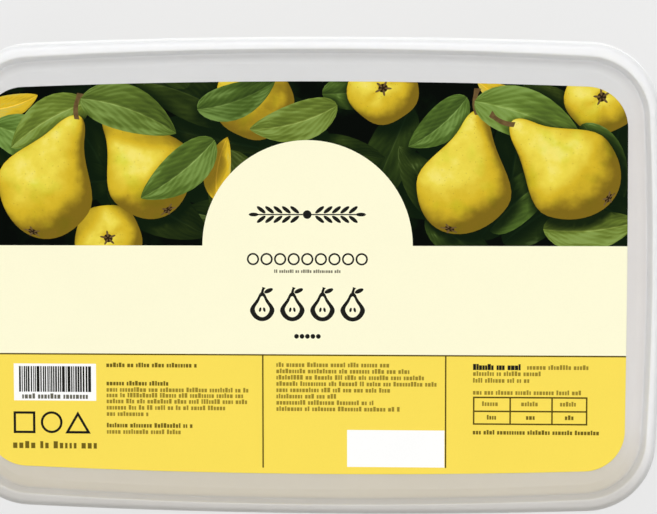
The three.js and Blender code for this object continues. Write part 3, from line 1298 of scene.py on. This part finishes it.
def shading_points():
    """Loose points over the picture, which carry its shading between the outlines."""
    rng = random.Random(3)

    def near(value):
        return value + rng.uniform(-GRID_JITTER, GRID_JITTER)

    left, low = GRID_START
    return [
        Vector((near(left + column * GRID_STEP), near(low + row * GRID_STEP)))
        for row in range(GRID_ROWS)
        for column in range(GRID_COLUMNS)
    ]


def cut_flat(motifs):
    """The motifs as one flat mesh: its points, and each face's corners and topmost motif."""
    points = []
    outlines = []
    for motif in motifs:
        outlines.append(list(range(len(points), len(points) + len(motif.points))))
        points += motif.points
    points += shading_points()
    cut = geometry.delaunay_2d_cdt(points, [], outlines, CUT_INSIDE, CUT_MARGIN)
    on_label = [(corners, max(found)) for corners, found in zip(cut[2], cut[5]) if 0 in found]
    return cut[0], on_label


def make_label():
    materials = make_print_materials()
    inks = list(materials)
    motifs = label_print()
    casters = [m for m in motifs if 1 <= m.layer < FLAT and m.ink in ("leaf", "fruit")]
    points, faces = cut_flat(motifs)
    bm = bmesh.new()
    verts = [bm.verts.new((*on_lid(p), LABEL_HIGH.z)) for p in points]
    motif_uv = bm.loops.layers.uv.new("motif")
    slope_uv = bm.loops.layers.uv.new("slope")
    shade = bm.loops.layers.float.new("shade")
    tone = bm.faces.layers.float.new("tone")
    known = {}
    for corners, index in faces:
        motif = motifs[index]
        face = bm.faces.new([verts[i] for i in corners])
        face.material_index = inks.index(motif.ink)
        face[tone] = motif.tone
        if motif.layer == FLAT:
            continue
        for loop, i in zip(face.loops, corners):
            if (index, i) not in known:
                dark = shade_from(casters, motif.layer, points[i])
                known[index, i] = *motif.inside(points[i]), dark
            loop[motif_uv].uv, loop[slope_uv].uv, loop[shade] = known[index, i]
    bmesh.ops.delete(bm, geom=[v for v in bm.verts if not v.link_faces], context="VERTS")
    printed = set(bm.faces)
    below, foot = extruded(bm, [e for e in bm.edges if e.is_boundary])
    for vert in below:
        vert.co.z = LABEL_LOW.z
    bmesh.ops.contextual_create(bm, geom=foot)
    for face in bm.faces:
        if face not in printed:
            face.material_index = inks.index("film")
    bmesh.ops.recalc_face_normals(bm, faces=bm.faces)
    piece = finished(bm, "printed_label")
    for material in materials.values():
        piece.data.materials.append(material)
    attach(piece, "root")
    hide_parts("label")


# ---- Stage ----

STAGE_AIM = Vector((0.0, 0.0, 0.05))


def make_camera():
    camera = bpy.data.cameras.new("camera")
    camera.lens = 100.13
    camera.sensor_width = 36.0
    camera.clip_start = 0.05
    camera.clip_end = 20.0
    holder = placed("camera", camera)
    holder.location = (32.08 * MM, 35.30 * MM, 542.74 * MM)
    holder.rotation_euler = Euler((-0.0618, 0.0540, 0.0044), "ZYX").to_matrix().to_euler()
    bpy.context.scene.camera = holder


def area_light(name, place, size, power):
    light = bpy.data.lights.new(name, "AREA")
    light.shape = "RECTANGLE"
    light.size, light.size_y = size
    light.energy = power
    holder = placed(name, light)
    holder.location = place
    holder.rotation_euler = (STAGE_AIM - Vector(place)).to_track_quat("-Z", "Y").to_euler()


def make_stage():
    bm = bmesh.new()
    bmesh.ops.create_grid(bm, x_segments=1, y_segments=1, size=3.0)
    floor = finished(bm, "studio_floor")
    graph = Surface("Studio floor", {
        "Emission Color": (1.0, 1.0, 1.0), "Emission Strength": 0.62,
    })
    cloud = graph.noise(graph.place(), 3.0, 2.0)
    grey = graph.mix(cloud, (0.19, 0.19, 0.19), (0.21, 0.21, 0.21))
    graph.feed(graph.shader, {"Base Color": grey, "Roughness": cloud * 0.1 + 0.65})
    floor.data.materials.append(graph.material)
    area_light("back", (-0.2, 1.4, 1.25), (1.6, 0.8), 8.8)
    area_light("front", (0.3, -0.75, 1.9), (2.0, 1.0), 9)
    area_light("overhead", (0.1, 0.0, 1.8), (2.8, 2.6), 11.75)
    world = bpy.data.worlds.new("Studio")
    world.use_nodes = True
    graph = Graph(world.node_tree)
    back = graph.split(graph.field("ShaderNodeTexCoord", output="Generated"))[1]
    sky = graph.mix(graph.span(back, -0.8, 0.8), (0.42, 0.41, 0.39), (1.5, 1.5, 1.5))
    graph.feed(world.node_tree.nodes["Background"].inputs, {"Color": sky, "Strength": 0.52})
    bpy.context.scene.world = world
    bpy.context.scene.view_settings.view_transform = "Standard"


# ---- Operators and panel ----


class FOODTUB_OT_effects(bpy.types.Operator):
    """Make the surface effects that the materials share"""

    bl_idname = "foodtub.effects"
    bl_label = "Surface effects"

    def execute(self, context):
        make_moulded_group()
        make_print_group()
        make_lighting_group()
        return {"FINISHED"}


class FOODTUB_OT_tub(bpy.types.Operator):
    """Make the moulded tub"""

    bl_idname = "foodtub.tub"
    bl_label = "Tub"

    def execute(self, context):
        make_tub()
        return {"FINISHED"}


class FOODTUB_OT_lid(bpy.types.Operator):
    """Make the press-on lid"""

    bl_idname = "foodtub.lid"
    bl_label = "Lid"

    def execute(self, context):
        make_lid()
        return {"FINISHED"}


class FOODTUB_OT_puree(bpy.types.Operator):
    """Make the filling"""

    bl_idname = "foodtub.puree"
    bl_label = "Puree"

    def execute(self, context):
        make_puree()
        return {"FINISHED"}


class FOODTUB_OT_label(bpy.types.Operator):
    """Make the printed label"""

    bl_idname = "foodtub.label"
    bl_label = "Label"

    def execute(self, context):
        make_label()
        return {"FINISHED"}


class FOODTUB_OT_stage(bpy.types.Operator):
    """Make the floor, the lights and the camera"""

    bl_idname = "foodtub.stage"
    bl_label = "Stage"

    def execute(self, context):
        make_camera()
        make_stage()
        return {"FINISHED"}


OPERATORS = (
    FOODTUB_OT_stage, FOODTUB_OT_effects, FOODTUB_OT_tub, FOODTUB_OT_puree, FOODTUB_OT_lid,
    FOODTUB_OT_label,
)


class FOODTUB_PT_main(bpy.types.Panel):
    """Sizes, colours and pieces of the food tub"""

    bl_idname = "FOODTUB_PT_main"
    bl_label = "Food tub"
    bl_space_type = "VIEW_3D"
    bl_region_type = "UI"
    bl_category = "Food tub"

    def draw(self, context):
        scene = context.scene
        for settings in (scene.tub_sizes, scene.label_sizes, scene.tub_colours):
            column = self.layout.column(align=True)
            for name in settings.__annotations__:
                column.prop(settings, name)
        for operator in OPERATORS:
            self.layout.operator(operator.bl_idname)


CLASSES = (TubSizes, LabelSizes, Colours, *OPERATORS, FOODTUB_PT_main)


def register():
    for cls in CLASSES:
        bpy.utils.register_class(cls)
    bpy.types.Scene.tub_sizes = PointerProperty(type=TubSizes)
    bpy.types.Scene.label_sizes = PointerProperty(type=LabelSizes)
    bpy.types.Scene.tub_colours = PointerProperty(type=Colours)


def unregister():
    del bpy.types.Scene.tub_colours
    del bpy.types.Scene.label_sizes
    del bpy.types.Scene.tub_sizes
    for cls in reversed(CLASSES):
        bpy.utils.unregister_class(cls)


def main():
    register()
    bpy.ops.foodtub.stage()
    bpy.ops.foodtub.effects()
    bpy.ops.foodtub.tub()
    bpy.ops.foodtub.puree()
    bpy.ops.foodtub.lid()
    bpy.ops.foodtub.label()


if __name__ == "__main__":
    main()
